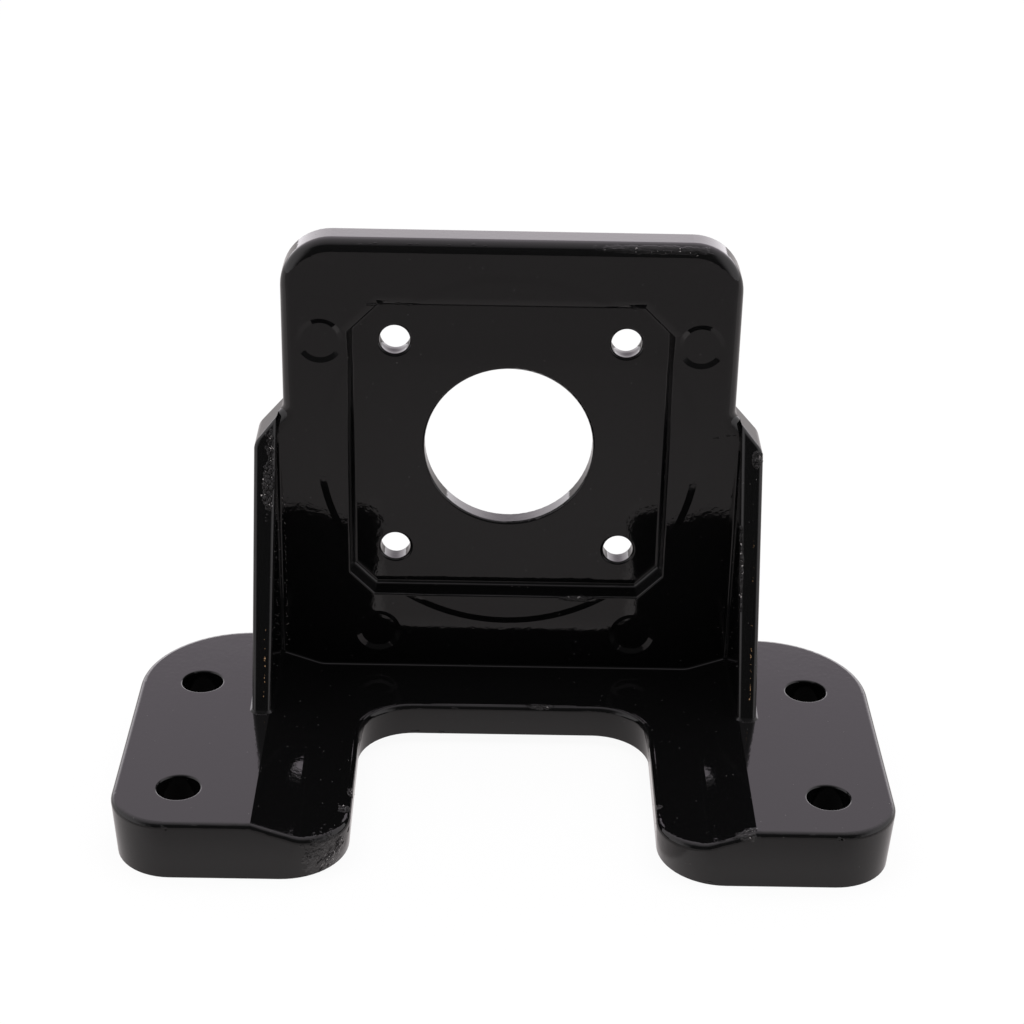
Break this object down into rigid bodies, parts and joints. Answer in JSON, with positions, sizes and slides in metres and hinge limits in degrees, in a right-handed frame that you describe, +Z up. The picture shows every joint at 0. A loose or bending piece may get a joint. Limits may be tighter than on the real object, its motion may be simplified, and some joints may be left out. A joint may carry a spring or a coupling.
{
  "type": "motor mounting bracket",
  "caption": "Black-painted die-cast bracket: an upright plate with a square recess and a pilot bore for a small stepper motor, held by side gussets on a notched base with bolt-down feet.",
  "frame": {"origin": "middle of the base's outline, on the surface that the feet stand on", "axes": "+Z up, +X across the bracket, +Y away from the motor, through the upright plate; the motor sits on the -Y side"},
  "size_m": [0.1, 0.049, 0.0693],
  "materials": {
    "black_paint": "glossy black paint over die-cast metal, with slight orange peel, pits and dust"
  },
  "bodies": {
    "root": {"motor_bracket": "black_paint"}
  },
  "joints": []
}
